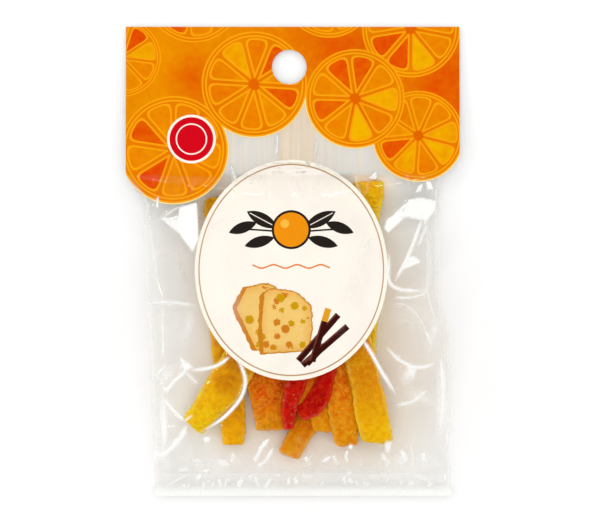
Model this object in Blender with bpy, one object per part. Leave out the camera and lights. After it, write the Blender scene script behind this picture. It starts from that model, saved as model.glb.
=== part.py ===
"""A sealed clear film bag of candied orange peel, lying on its back.

One solid: a filled pouch with a sealed hem below it and, above it, a wide flat header with a
punched hang hole. Metres, +Z up; the header points along +Y and the printed front faces up.
The origin is on the resting surface, below the middle of the bag.
"""

import math

import bmesh
import bpy

# Driving dimensions
BAG_LENGTH = 0.1406
HEADER_WIDTH = 0.1000
HEADER_LENGTH = 0.0443       # from the top edge down to where the pouch begins
HEM_LENGTH = 0.0084          # the sealed strip at the bottom
POUCH_CROWN = 0.0172         # highest point of the front film above the table
SEALED_THICKNESS = 0.0005    # both films pressed together

# Heights of the sealed film above the table
HEADER_TOP_HEIGHT = 0.0009
TOP_SEAL_HEIGHT = 0.0030
SIDE_FOLD_HEIGHT = 0.0052
BOTTOM_SEAL_HEIGHT = 0.0030
HEM_EDGE_HEIGHT = 0.0009
SIDE_FOLD_POWER = 3          # higher keeps the side folds level for longer

# Side edges of the film, measured from the header's middle line
LEFT_SHOULDER_TOP = 0.0270   # where the header starts to narrow
LEFT_SHOULDER_BOTTOM = 0.0170
LEFT_SHOULDER = -0.0446
LEFT_HEM = -0.0412
RIGHT_SHOULDER_TOP = 0.0315
RIGHT_SHOULDER_BOTTOM = 0.0235
RIGHT_SHOULDER = 0.0438
RIGHT_HIP = 0.0474           # the right side bulges below the cross crease
HIP_TOP = -0.0085
HIP_BOTTOM = -0.0225

# Hang hole
HOLE_DIAMETER = 0.0104
HOLE_FROM_TOP = 0.0121
HOLE_OFFSET = -0.0010

# How each film curves away from its seals: power and root across the bag, then along it.
# The back film settles past full, so that its middle lies flat on the table.
FRONT_CURVE = (2.5, 0.62, 2.6, 0.72)
BACK_CURVE = (7.0, 0.5, 6.0, 0.6)
BACK_SETTLE = 1.04

# Gathers: where the film is longer than the seal it is caught in, it stands in ripples
GATHER_DEPTH = 0.0009
GATHER_REACH = 0.0115
GATHER_PITCH = 0.0121
GATHER_DRIFT = 1.1           # how unevenly the ripples are spaced
GATHER_RISE = 4.0            # how soon they reach their full depth away from a seal
HEM_GATHER_PITCH = 0.0094
HEM_GATHER_DRIFT = 1.4
HEM_RIPPLE = 0.00035
HEM_RIPPLE_END = 0.0010      # the hem's own ripple dies out this far into the pouch

# Corner tucks and the crease across the pouch
TUCK_DEPTH = 0.0042
TUCK_REACH = 0.0135
TUCK_INSET = 0.0150
CREASE_DEPTH = 0.0011
CREASE_WIDTH = 0.0030
CREASE_LINE = -0.0105        # its place along the bag
CREASE_INNER = 0.45          # it runs in from each side and fades out between these two
CREASE_OUTER = 0.80          # shares of the half width

# Mesh density
COLUMNS = 36
HEADER_ROWS = 16
POUCH_ROWS = 34
HEM_ROWS = 4
HOLE_SIDES = 40
ROW_CROWDING = 0.6           # 0 for even rows in the pouch, 1 for rows crowded at its ends
SHARP_ANGLE = math.radians(60)

TOP_EDGE = BAG_LENGTH / 2
BOTTOM_EDGE = -BAG_LENGTH / 2
POUCH_TOP = TOP_EDGE - HEADER_LENGTH
POUCH_BOTTOM = BOTTOM_EDGE + HEM_LENGTH
POUCH_MIDDLE = (POUCH_TOP + POUCH_BOTTOM) / 2
POUCH_HALF_LENGTH = (POUCH_TOP - POUCH_BOTTOM) / 2


def ease(value, start, end):
    """0 at start, 1 at end, with a smooth turn at both."""
    t = min(max((value - start) / (end - start), 0.0), 1.0)
    return t * t * (3 - 2 * t)


def mix(a, b, share):
    return a + (b - a) * share


def bump(distance, width):
    """1 at no distance, falling smoothly to nothing a few widths away."""
    return math.exp(-((distance / width) ** 2))


# Plan of the bag

def left_edge(y):
    narrowed = ease(y, LEFT_SHOULDER_TOP, LEFT_SHOULDER_BOTTOM)
    shoulder = mix(-HEADER_WIDTH / 2, LEFT_SHOULDER, narrowed)
    return shoulder + (LEFT_HEM - LEFT_SHOULDER) * ease(y, LEFT_SHOULDER_BOTTOM, BOTTOM_EDGE)


def right_edge(y):
    narrowed = ease(y, RIGHT_SHOULDER_TOP, RIGHT_SHOULDER_BOTTOM)
    shoulder = mix(HEADER_WIDTH / 2, RIGHT_SHOULDER, narrowed)
    return shoulder + (RIGHT_HIP - RIGHT_SHOULDER) * ease(y, HIP_TOP, HIP_BOTTOM)


def row_position(row):
    """The height up the bag of a row of points; rows crowd towards both seals of the pouch."""
    if row <= HEM_ROWS:
        return mix(BOTTOM_EDGE, POUCH_BOTTOM, row / HEM_ROWS)
    if row <= HEM_ROWS + POUCH_ROWS:
        turn = math.pi * (row - HEM_ROWS) / POUCH_ROWS
        even = (row - HEM_ROWS) / POUCH_ROWS
        return mix(POUCH_BOTTOM, POUCH_TOP, mix(even, (1 - math.cos(turn)) / 2, ROW_CROWDING))
    return mix(POUCH_TOP, TOP_EDGE, (row - HEM_ROWS - POUCH_ROWS) / HEADER_ROWS)


# Heights of the two films

def seal_height(y):
    """The level at which the two films meet, along the header, the side folds and the hem."""
    if y >= POUCH_TOP:
        return mix(TOP_SEAL_HEIGHT, HEADER_TOP_HEIGHT, ease(y, POUCH_TOP, TOP_EDGE))
    if y <= POUCH_BOTTOM:
        return mix(BOTTOM_SEAL_HEIGHT, HEM_EDGE_HEIGHT, ease(y, POUCH_BOTTOM, BOTTOM_EDGE))
    v = (y - POUCH_MIDDLE) / POUCH_HALF_LENGTH
    end = TOP_SEAL_HEIGHT if v > 0 else BOTTOM_SEAL_HEIGHT
    return mix(SIDE_FOLD_HEIGHT, end, abs(v) ** SIDE_FOLD_POWER)


def fullness(u, v, side_power, side_root, end_power, end_root):
    """How far the film stands from its seal: 1 over the contents, 0 along the edges."""
    across = max(1 - abs(u) ** side_power, 0.0) ** side_root
    along = max(1 - abs(v) ** end_power, 0.0) ** end_root
    return across * along


def gathers(x, y):
    """Ripples that run into the pouch from the seal above and from the seal below."""
    from_top = math.exp(-max(POUCH_TOP - y, 0.0) / GATHER_REACH)
    from_bottom = math.exp(-max(y - POUCH_BOTTOM, 0.0) / GATHER_REACH)
    drift = math.sin(x / GATHER_PITCH)
    upper = math.cos(2 * math.pi * x / GATHER_PITCH + GATHER_DRIFT * drift)
    lower = math.cos(2 * math.pi * x / HEM_GATHER_PITCH - HEM_GATHER_DRIFT * drift)
    return GATHER_DEPTH * (from_top * upper + from_bottom * lower)


def corner_tucks(x, y):
    """The dents where the pouch's four corners fold in."""
    depth = 0.0
    for corner_y in (POUCH_TOP - TUCK_INSET, POUCH_BOTTOM + TUCK_INSET):
        for corner_x in (left_edge(corner_y) + TUCK_INSET, right_edge(corner_y) - TUCK_INSET):
            depth += bump(math.hypot(x - corner_x, y - corner_y), TUCK_REACH)
    return TUCK_DEPTH * depth


def front_height(x, y, u, v):
    base = seal_height(y)
    swell = fullness(u, v, *FRONT_CURVE)
    crease = bump(y - CREASE_LINE, CREASE_WIDTH) * ease(abs(u), CREASE_INNER, CREASE_OUTER)
    rise = (POUCH_CROWN - base - corner_tucks(x, y) - CREASE_DEPTH * crease) * swell
    rise += gathers(x, y) * min(1.0, GATHER_RISE * swell)
    return base + SEALED_THICKNESS / 2 + max(rise, 0.0)


def back_height(y, u, v):
    base = seal_height(y) - SEALED_THICKNESS / 2
    settle = min(BACK_SETTLE * fullness(u, v, *BACK_CURVE), 1.0)
    return base * (1 - settle)


def hem_ripple(x, y):
    """The sealed hem isn't quite flat: it follows the gathers above it."""
    share = ease(y, BOTTOM_EDGE, POUCH_BOTTOM) * ease(y, POUCH_BOTTOM + HEM_RIPPLE_END, POUCH_BOTTOM)
    return HEM_RIPPLE * share * math.cos(2 * math.pi * x / HEM_GATHER_PITCH)


# Building the solid

def place_film(vertices, is_front):
    """Moves a flat grid of points, which runs from -1 to 1 both ways, to one film of the bag."""
    rows = HEM_ROWS + POUCH_ROWS + HEADER_ROWS
    for vertex in vertices:
        u = math.sin(math.pi / 2 * vertex.co.x)
        y = row_position(round((vertex.co.y + 1) / 2 * rows))
        x = mix(left_edge(y), right_edge(y), (u + 1) / 2)
        v = min(max((y - POUCH_MIDDLE) / POUCH_HALF_LENGTH, -1.0), 1.0)
        z = front_height(x, y, u, v) if is_front else back_height(y, u, v)
        vertex.co = (x, y, z + hem_ripple(x, y))


def open_rim(faces):
    return [e for e in {e for f in faces for e in f.edges} if e.is_boundary]


def build_bag(collection, material):
    rows = HEM_ROWS + POUCH_ROWS + HEADER_ROWS
    bag_mesh = bmesh.new()
    rims = []
    for is_front in (True, False):
        grid = bmesh.ops.create_grid(bag_mesh, x_segments=COLUMNS, y_segments=rows, size=1.0)
        place_film(grid["verts"], is_front)
        rims += open_rim({f for v in grid["verts"] for f in v.link_faces})
    bmesh.ops.bridge_loops(bag_mesh, edges=rims)
    bmesh.ops.recalc_face_normals(bag_mesh, faces=bag_mesh.faces)
    data = bpy.data.meshes.new("bag")
    bag_mesh.to_mesh(data)
    bag_mesh.free()
    data.materials.append(material)
    data.shade_smooth()
    data.set_sharp_from_angle(angle=SHARP_ANGLE)
    bag = bpy.data.objects.new("bag", data)
    collection.objects.link(bag)
    return bag


def punch_hang_hole(bag, collection):
    bpy.ops.mesh.primitive_cylinder_add(
        vertices=HOLE_SIDES,
        radius=HOLE_DIAMETER / 2,
        depth=4 * TOP_SEAL_HEIGHT,
        location=(HOLE_OFFSET, TOP_EDGE - HOLE_FROM_TOP, HEADER_TOP_HEIGHT),
    )
    punch = bpy.context.object
    punch.name = "hang_hole_punch"
    punch.hide_render = True
    punch.display_type = "WIRE"
    for owner in list(punch.users_collection):
        owner.objects.unlink(punch)
    collection.objects.link(punch)
    cut = bag.modifiers.new("hang_hole", "BOOLEAN")
    cut.operation = "DIFFERENCE"
    cut.object = punch


def film_material():
    material = bpy.data.materials.new("clear_film")
    material.use_nodes = True
    shader = material.node_tree.nodes["Principled BSDF"]
    shader.inputs["Base Color"].default_value = (0.95, 0.62, 0.16, 1)
    shader.inputs["Roughness"].default_value = 0.12
    shader.inputs["Metallic"].default_value = 0.0
    return material


def new_collection(name):
    collection = bpy.data.collections.new(name)
    bpy.context.scene.collection.children.link(collection)
    return collection


for old in list(bpy.data.objects):
    bpy.data.objects.remove(old)
parts = new_collection("candied_peel_bag")
cutters = new_collection("cutters")
bag_object = build_bag(parts, film_material())
punch_hang_hole(bag_object, cutters)
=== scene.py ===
"""A sealed clear film bag of candied orange peel: film, printed inks, and the strips inside."""
import functools
import math
import random

import bmesh
import bpy
import numpy as np
from mathutils import Matrix, Vector, noise


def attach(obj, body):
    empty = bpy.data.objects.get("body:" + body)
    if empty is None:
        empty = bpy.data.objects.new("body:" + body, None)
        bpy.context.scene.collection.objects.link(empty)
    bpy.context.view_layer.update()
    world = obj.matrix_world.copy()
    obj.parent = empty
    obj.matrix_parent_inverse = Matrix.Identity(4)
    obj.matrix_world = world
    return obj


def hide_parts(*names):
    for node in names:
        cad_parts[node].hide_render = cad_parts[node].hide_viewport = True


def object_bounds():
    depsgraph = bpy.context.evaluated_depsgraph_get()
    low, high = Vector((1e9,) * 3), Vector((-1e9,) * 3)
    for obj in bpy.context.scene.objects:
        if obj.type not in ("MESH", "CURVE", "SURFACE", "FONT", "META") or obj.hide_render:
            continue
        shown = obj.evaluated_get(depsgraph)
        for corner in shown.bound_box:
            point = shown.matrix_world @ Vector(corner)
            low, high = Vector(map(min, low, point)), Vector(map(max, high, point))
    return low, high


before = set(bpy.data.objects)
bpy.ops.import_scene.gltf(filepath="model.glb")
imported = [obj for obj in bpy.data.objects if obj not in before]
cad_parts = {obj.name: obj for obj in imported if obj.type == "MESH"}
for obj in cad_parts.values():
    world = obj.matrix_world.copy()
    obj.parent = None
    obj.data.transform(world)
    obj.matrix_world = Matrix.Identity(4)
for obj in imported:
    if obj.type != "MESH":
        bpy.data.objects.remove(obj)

cad_low, cad_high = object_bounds()


# ---- Front film ----
# One clear sheet of polypropylene, heat-sealed to the back film round the header and along the
# hem and folded down both sides. The strips push it up, and packing has pinched it into creases.
# Lengths in this file are in millimetres on the bag's own plan, and a finished mesh is scaled.

MM = 0.001
TOP_EDGE = cad_high.y / MM
BOTTOM_EDGE = cad_low.y / MM
HEADER_HALF = cad_high.x / MM
HEADER_LENGTH = 44.3
HEM_LENGTH = 8.4
POUCH_TOP = TOP_EDGE - HEADER_LENGTH
POUCH_BOTTOM = BOTTOM_EDGE + HEM_LENGTH
POUCH_MIDDLE = (POUCH_TOP + POUCH_BOTTOM) / 2
POUCH_HALF = (POUCH_TOP - POUCH_BOTTOM) / 2
CROWN = 16.6

LEFT_SHOULDER, LEFT_HEM = -44.6, -41.2
RIGHT_SHOULDER, RIGHT_HIP = 43.8, 47.4
LEFT_NARROWS = (27.0, 17.0)
RIGHT_NARROWS = (31.5, 23.5)
HIP = (-8.5, -22.5)
SIDE_BAND = (1.0, 1.8)

HEADER_LEVEL, TOP_SEAL_LEVEL, SIDE_LEVEL, HEM_LEVEL, EDGE_LEVEL = 0.9, 3.0, 5.2, 3.0, 0.9

DENT_DEPTH, DENT_REACH, DENT_INSET = 4.2, 13.5, 15.0

# How each film swells over the contents: the powers across and along, and their roots
FRONT_SWELL = (2.5, 2.6), (0.62, 0.72)
BACK_SWELL = (7, 6), (0.5, 0.6)
BACK_LEVEL = 0.3

HOLE_RADIUS = 5.2
HOLE_PLACE = (-1.0, TOP_EDGE - 12.1)
HOLE_SIDES = 72

random.seed(41)
noise.seed_set(41)


def eased(value, start, end):
    """0 at start and 1 at end, with a smooth turn at both."""
    t = np.clip((value - start) / (end - start), 0, 1)
    return t * t * (3 - 2 * t)


def between(a, b, share):
    """The value that lies a share of the way from a to b."""
    return a + (b - a) * share


def left_side(y):
    """Where the left edge lies. It narrows under the header, and slowly more down to the hem."""
    shoulder = between(-HEADER_HALF, LEFT_SHOULDER, eased(y, *LEFT_NARROWS))
    return shoulder + (LEFT_HEM - LEFT_SHOULDER) * eased(y, LEFT_NARROWS[1], BOTTOM_EDGE)


def right_side(y):
    """Where the right edge lies. It narrows a little higher up, and widens again at the hip."""
    shoulder = between(HEADER_HALF, RIGHT_SHOULDER, eased(y, *RIGHT_NARROWS))
    return shoulder + (RIGHT_HIP - RIGHT_SHOULDER) * eased(y, *HIP)


def seal_level(y):
    """The level at which the two films meet, along the header, the side folds and the hem."""
    header = between(TOP_SEAL_LEVEL, HEADER_LEVEL, eased(y, POUCH_TOP, TOP_EDGE))
    hem = between(HEM_LEVEL, EDGE_LEVEL, eased(y, POUCH_BOTTOM, BOTTOM_EDGE))
    v = (y - POUCH_MIDDLE) / POUCH_HALF
    end = np.where(v > 0, TOP_SEAL_LEVEL, HEM_LEVEL)
    side = between(SIDE_LEVEL, end, np.clip(abs(v), 0, 1) ** 3)
    return np.where(y > POUCH_TOP, header, np.where(y < POUCH_BOTTOM, hem, side))


def places(x, y):
    """How far across the bag and along the pouch a place lies, each from -1 to 1."""
    left, right = left_side(y), right_side(y)
    u = np.clip(2 * (x - left) / (right - left) - 1, -1, 1)
    v = np.clip((y - POUCH_MIDDLE) / POUCH_HALF, -1, 1)
    return u, v


def fullness(u, v, powers, roots):
    """1 over the contents and 0 along the edges."""
    across = (1 - abs(u) ** powers[0]) ** roots[0]
    return across * (1 - abs(v) ** powers[1]) ** roots[1]


def smooth_line(points, steps=7):
    """Places along a smooth curve that passes through the given points."""
    points = np.array(points, float)
    if len(points) == 2:
        return points
    ends = np.vstack([2 * points[0] - points[1], points, 2 * points[-1] - points[-2]])
    line = []
    for a, b, c, d in zip(ends, ends[1:], ends[2:], ends[3:]):
        for t in np.arange(steps) / steps:
            line.append(0.5 * (2 * b + (c - a) * t + (2 * a - 5 * b + 4 * c - d) * t**2
                               + (3 * b - a - 3 * c + d) * t**3))
    return np.array([*line, points[-1]])


def from_line(x, y, points):
    """Each place's distance from a line, minus on its right, and how far along it lies."""
    line = smooth_line(points)
    nearest = np.full(x.shape, 1e3)
    along = np.zeros(x.shape)
    for i, (a, b) in enumerate(zip(line, line[1:])):
        run, rise = b - a
        t = ((x - a[0]) * run + (y - a[1]) * rise) / (run**2 + rise**2)
        t = np.clip(t, 0, 1)
        gap = np.hypot(x - a[0] - t * run, y - a[1] - t * rise)
        side = np.where(run * (y - a[1]) > rise * (x - a[0]), 1, -1)
        closer = gap < abs(nearest)
        nearest = np.where(closer, gap * side, nearest)
        along = np.where(closer, (i + t) / (len(line) - 1), along)
    return nearest, along


# Each crease: its points, its height, the reach of its slopes on the left and on the right of its
# run, and how white it is along it: partly the film whitened by the fold, partly a painted highlight.
CREASES = [
    ([(-17.1, -28), (-14.9, -31.8), (-14, -35.5), (-14.9, -39.6), (-17.8, -43.7),
      (-21.9, -47.5), (-27.8, -51.1)], 1, 2.6, 1.1, 0.95),
    ([(-18.4, -28), (-21.3, -30.3), (-24.7, -31.6), (-31, -32.5)], 0.9, 1, 2.4, 0.95),
    ([(-33.4, -28.2), (-32, -32.3), (-35.1, -35.5), (-37.5, -38.2), (-39.2, -36.6)],
     0.8, 1.4, 1.2, 0.9),
    ([(-31.8, -32.8), (-28, -36.6)], 0.5, 1, 1, 0.6),
    ([(-37.2, -30.4), (-40, -33.4), (-40.2, -36.1)], 0.5, 1.6, 1.6, 0.45),
    ([(-38.6, -40.8), (-35.1, -44.8), (-31.9, -47.9)], 0.7, 1.1, 1.1, 0.85),
    ([(-38.9, -41), (-38, -48.5), (-38.2, -56.4)], 0.6, 1, 1.3, 0.7),
    ([(-31.2, -48.2), (-33.5, -52.8), (-37.6, -57), (-41, -58.2)], 1.7, 1.5, 1.9, 1),
    ([(-38, -49), (-34.6, -49.4)], 0.4, 0.8, 0.8, 0.5),
    ([(-32.4, -47.7), (-29.8, -45.8)], 0.4, 0.8, 0.8, 0.6),
    ([(-30.6, -63.2), (-39.6, -68.4)], 0.5, 0.9, 0.9, 0.7),
    ([(27.2, 8.9), (29.3, 12), (32, 15.2), (37, 19.2)], 1, 1.6, 2.4, 0.8),
    ([(31, 13), (35.4, 13.5), (39.6, 13.2)], 0.7, 1.2, 1.2, 0.75),
    ([(38.8, 13.4), (34.9, 2.9), (30.2, -6.4)], 0.9, 1.5, 1.2, 0.85),
    ([(40.2, 11.2), (37.2, 4)], 0.5, 0.8, 0.8, 0.6),
    ([(42.8, 17.2), (40, 12.6), (39.2, 10.6)], 0.6, 1, 1.2, 0.7),
    ([(40.2, 12), (40.2, 0.4), (40, -8.5), (41.9, -15.8), (42.8, -19)], 0.5, 0.8, 2.2, 0.35),
    ([(28.6, 3), (28.5, -1), (28.3, -4.6), (29.4, -7), (31.8, -8.3), (35.4, -8.7),
      (40.2, -8.8)], 0.9, 1.4, 1.2, 0.85),
    ([(29.6, -10.6), (34, -10.8), (38, -10.1), (40.2, -8.6)], 0.6, 1, 1.4, 0.6),
    ([(-43.8, -12.5), (-36.2, -12.2), (-28.6, -13.1)], 1.1, 2.2, 1.8, 0.5),
    ([(28.4, -13), (33.4, -12.9), (38, -17.5), (40.2, -23), (40.8, -27)],
     0.5, 1, 1, 0.35),
    ([(30.4, -18.8), (34, -17.6), (37, -20.6)], 0.4, 0.9, 0.9, 0.25),
    ([(27.4, -25), (31.2, -28.9), (35.3, -31.1), (38.8, -31.4), (43.4, -30)],
     0.9, 1.4, 2.2, 0.85),
    ([(20.4, -22.6), (23.2, -27), (26.4, -32.7), (31.2, -40.2)], 1, 1.3, 1.6, 0.95),
    ([(30.4, -42.8), (35.8, -41.6), (40.4, -37.8)], 1, 2.4, 1.6, 0.7),
    ([(44, -27.8), (44.8, -36), (44.9, -43.2), (43.9, -51.6)], 1.6, 1.5, 1.8, 0.9),
    ([(39.8, -20.8), (40.5, -22.7), (41.2, -25)], 0.5, 1, 1, 0.6),
    ([(-18.6, 29.4), (-17.7, 26.2), (-16.6, 23.4)], 0.6, 0.8, 0.9, 0.75),
    ([(-4.8, 39), (-4.7, 34.4), (-5.1, 31)], 0.5, 0.7, 0.8, 0.7),
    ([(7.2, 36.6), (7, 33.4), (6.3, 30.4)], 0.45, 0.8, 0.8, 0.5),
    ([(-40.2, 19.4), (-40.4, 15.6)], 0.5, 0.9, 0.9, 0.7),
    ([(-38.6, 13.2), (-35.6, 15.2), (-33.6, 16.4)], 0.4, 1, 1, 0.5),
    ([(-39.4, 12.9), (-36.6, 12.6), (-33.6, 13.6)], 0.5, 0.8, 0.8, 0.9),
    ([(-26.4, -53), (-24.4, -53.1)], 1.3, 0.9, 0.9, 1),
    ([(-29.2, -59.1), (-27.6, -60.3)], 1.5, 0.9, 0.9, 1),
    ([(-22.5, -59.4), (-20.6, -60), (-19, -61.8)], 0.8, 0.9, 0.9, 0.95),
    ([(-17.8, -56.9), (-18.1, -60.2)], 0.8, 0.7, 0.7, 0.8),
    ([(-34, -62.4), (-31.1, -62.2)], 0.5, 0.7, 0.7, 0.9),
    ([(-28.9, -65.8), (-27.3, -63.9)], 0.7, 0.7, 0.7, 0.8),
    ([(-26.6, -63.2), (-24.4, -62.2)], 0.3, 0.7, 0.7, 0.6),
    ([(-6.8, -52.5), (-9.3, -55.6), (-11.4, -60)], 1, 0.9, 0.9, 1),
    ([(-5.6, -55), (-7.4, -58.4), (-9.2, -60.8), (-10.8, -62)], 0.8, 0.9, 0.9, 0.95),
    ([(3.8, -58.1), (4.2, -59.6)], 0.9, 0.7, 0.7, 1),
    ([(8.8, -60.1), (11.5, -58)], 0.9, 0.8, 0.8, 0.95),
    ([(11.9, -57.4), (13.4, -60.6)], 0.5, 0.8, 0.8, 0.75),
    ([(16.5, -56), (15.9, -58), (16.4, -60.2)], 0.7, 0.8, 0.8, 0.9),
    ([(26.4, -57), (28.8, -60.6)], 0.5, 0.8, 0.8, 0.7),
    ([(32.6, -56.2), (33.8, -58.7), (33.3, -60.6)], 0.7, 0.8, 0.8, 0.85),
    ([(31.2, -59.6), (32.5, -58.8)], 0.6, 0.8, 0.8, 0.6),
    ([(38.9, -57.2), (39.5, -60.3)], 1.5, 1, 1, 0.95),
]

# Flat facets that the film has buckled into: their corners, anticlockwise, the slopes across and
# up the bag, and how white they are, which is a painted reflection of the lamps.
FACETS = [
    ([(-34.6, 10.6), (-33, 7), (-29.6, 2.7), (-27.9, 6.6), (-28.5, 17.6), (-33.8, 16.2)],
     (0.1, -0.2), 0.95),
    ([(-38.8, 12.3), (-33, 7.6), (-33.4, 12.9)], (0.1, -0.1), 0.8),
    ([(32.2, 13.4), (37.6, 12.4), (40, 12), (42.4, 14.9), (43, 18.2), (38.2, 19.1),
      (34.6, 18.5)], (-0.12, -0.2), 0.9),
    ([(27.2, 9.8), (28.5, 8.4), (33.4, 13), (32.8, 15.5), (28, 12.5)], (0.1, -0.1), 0.95),
    ([(36.5, 20.3), (38.3, 21), (39.1, 23.2), (37.6, 22.8)], (0.1, 0.1), 0.8),
    ([(39.7, 24), (40.2, 21.4), (42.2, 21.3), (41.3, 24)], (0.1, 0.1), 0.9),
    ([(22.5, 24.8), (25.1, 24.5), (25.3, 26.8), (24.6, 26.9)], (0, 0.1), 0.9),
    ([(32.6, -2.6), (38.3, -0.2), (36.2, 1.7), (34.4, 1.4)], (-0.15, -0.1), 0.95),
    ([(33.6, -30), (34.4, -33.4), (35.8, -35.2), (37, -32)], (0.1, -0.1), 0.75),
    ([(-33.8, -27.9), (-32.6, -32), (-29.2, -31.6)], (0.1, 0.15), 0.7),
    ([(27.3, -53.8), (28.6, -57.4), (29.8, -53.4)], (0.1, 0.15), 0.6),
]

# Soft white patches on the film, partly milky scuffs and partly painted glare, glints and light
# streaks: the middle, the half width and half length, how far the length is turned from straight
# up the bag, and how white
SCUFFS_AND_GLARE = [
    (-38, -12, 8, 20, 0, 0.06), (-41.6, -2, 1.8, 9.5, 2, 0.2),
    (-37, -17, 5, 5, 20, 0.1), (-31, -19.5, 1.5, 5, -12, 0.3),
    (-37.6, -33.6, 2.8, 1.8, 30, 0.45), (-38.8, -46.2, 1.2, 5.4, 2, 0.5),
    (-41, -57.6, 2.4, 3, 0, 0.65), (-26, -61, 7.5, 1.8, 10, 0.25),
    (-20.9, -60.3, 1.6, 1, -20, 0.95), (-25.5, -53.1, 1.1, 0.9, 0, 1),
    (-28.2, -59.7, 1, 0.8, -20, 0.95), (-28.2, -64.3, 0.9, 0.6, 35, 0.9),
    (-26, -62.5, 1.3, 0.4, 12, 0.8), (-32.6, -62.2, 1.3, 0.5, 5, 0.8),
    (-38.5, -49.5, 0.6, 7, 0, 0.75), (-31.4, -31.2, 1.2, 1.1, 0, 0.95),
    (-11.1, -58.9, 0.8, 0.9, -20, 0.95), (-9.6, -60.6, 1.2, 0.7, 30, 0.9),
    (-15.6, -66.6, 0.6, 1.4, -20, 1), (9.9, -59.2, 1.3, 0.6, 32, 0.95),
    (28.4, -55.3, 0.9, 1.8, 0, 0.9), (27.2, -58.6, 0.6, 1.5, 20, 0.85),
    (28.6, -60.2, 0.9, 0.8, 0, 0.7), (33, -57.9, 0.7, 1.7, 18, 0.95),
    (32.6, -60, 1.1, 0.7, 0, 0.7), (39.1, -58.6, 0.8, 1.6, 8, 1),
    (41, -67, 1.1, 0.7, 20, 0.8), (35.4, -66.4, 1, 0.7, 0, 0.7),
    (34.4, -33.4, 1.5, 2.4, -20, 0.6), (38.4, -40.4, 3.6, 1.5, -25, 0.4),
    (44.4, -41, 1.3, 11, 0, 0.5), (42.2, -21, 1.8, 6, -15, 0.3),
    (35.6, -15.6, 6, 4.6, -30, 0.18), (40.8, -1, 0.6, 9.5, 0, 0.35),
    (43, 1, 0.6, 10, 0, 0.25), (17.3, -55.2, 0.7, 0.7, 0, 1),
    (4.2, -64.3, 2.4, 1, 0, 0.5), (4.1, -58.8, 0.6, 0.8, 0, 0.95),
    (16.9, -63.4, 0.8, 0.8, 0, 0.6), (24.4, -64.6, 2.8, 1, -15, 0.5),
    (39.4, -64.8, 3.6, 1, -15, 0.65), (35.8, -66.8, 1.8, 1, 0, 0.5),
    (18.6, -5.8, 1, 9, -16, 0.3), (22.4, 4.6, 1.4, 6, -20, 0.25),
    (-23.4, 10.4, 0.7, 6, -38, 0.2), (-18, -8, 2, 12, 8, 0.15),
]

# Marks that the sealing jaws left across the hem: the middle, the height, the lean, how proud
# and how white, the white being a painted highlight on each crimp
JAW_MARKS = [
    (-36.3, -67.6, 1.6, 0.9, 0.8, 0.5), (-33.6, -67.7, 1.8, 0.5, 0.6, 0.5),
    (-32.4, -67.5, 1.9, -0.6, 0.8, 0.6), (-31.3, -67.3, 1.9, 0.4, 0.6, 0.6),
    (-26.7, -67.2, 2.5, 0.1, 0.9, 0.7), (-25.2, -65.9, 0.6, 1.6, 0.5, 0.5),
    (-24.1, -67, 2.2, 0.3, 0.9, 0.6), (-21.8, -66.4, 3.4, -0.4, 1, 0.7),
    (-20, -66.3, 3, 0.6, 0.6, 0.6), (-19.1, -65.6, 1.6, -0.3, 0.5, 0.5),
    (-15.8, -66.2, 3, 1.4, 1.6, 0.9), (-12.8, -64.6, 1.2, 0.5, 0.8, 0.6),
    (-10.6, -66.2, 4, -1.9, 0.8, 0.7), (-7.4, -66.4, 3.6, 2, 0.9, 0.75),
    (-4.4, -64, 1, 0.8, 0.7, 0.6), (-1.2, -65.8, 2.4, 0.3, 0.9, 0.7),
    (0.9, -65.6, 2.4, -0.7, 1, 0.8), (8.6, -66.6, 1.4, 1.6, 0.5, 0.4),
    (15.5, -65.5, 2.8, -0.5, 0.7, 0.75), (17.4, -65.8, 2, -1.3, 0.8, 0.75),
    (19.2, -66.3, 1, -1.4, 0.6, 0.6), (22, -66.6, 0.9, -2.4, 0.7, 0.6),
    (28.5, -65.2, 1.6, 0.6, 0.5, 0.4), (32.4, -66.4, 1.3, -1, 0.6, 0.5),
    (41.2, -66.4, 1.6, -1.6, 0.8, 0.7), (45.6, -64.8, 2.8, 0.2, 0.6, 0.6),
]
SEAL_FOLDS = [([(x - lean / 2, y - tall / 2), (x + lean / 2, y + tall / 2)],
               proud, 0.6, 0.6, whiteness + 0.2) for x, y, tall, lean, proud, whiteness in JAW_MARKS]


def bowed(x, y, turn, half, bend=0.0):
    """The two ends and the middle of a slightly bowed line."""
    run, rise = half * math.cos(turn), half * math.sin(turn)
    return [(x - run, y - rise), (x - bend * math.sin(turn), y + bend * math.cos(turn)),
            (x + run, y + rise)]


# Folds where the film is longer than the seal that holds it: they run into the pouch.
for start, finish, step, seal, inward in (
        (-36, 40, 6.1, POUCH_BOTTOM, 1), (-34, 38, 6.6, POUCH_TOP, -1)):
    for foot in np.arange(start, finish, step):
        x = foot + random.uniform(-0.4, 0.4) * step
        reach = random.uniform(3.0, 8.5)
        lean = random.uniform(-0.45, 0.45) * reach
        SEAL_FOLDS.append((
            [(x, seal - inward * 0.4), (x + 0.3 * lean, seal + inward * reach / 2),
             (x + lean, seal + inward * reach)],
            random.uniform(0.35, 0.8), random.uniform(0.6, 1.1), random.uniform(0.6, 1.1),
            random.uniform(0.0, 0.3),
        ))

# Long soft buckles all over the pouch
BUCKLE_COUNT, BACK_CREASE_COUNT = 46, 26
BUCKLES = []
for count in range(BUCKLE_COUNT):
    x, y = random.uniform(-38, 38), random.uniform(POUCH_BOTTOM + 4, POUCH_TOP - 4)
    turn = random.gauss(math.pi / 2, 0.75)
    half = random.uniform(4, 13)
    bend = random.uniform(-1.5, 1.5)
    BUCKLES.append((
        bowed(x, y, turn, half, bend), random.choice((-1, 1)) * random.uniform(0.12, 0.34),
        random.uniform(1.4, 3.4), random.uniform(1.4, 3.4), 0.0,
    ))


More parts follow.
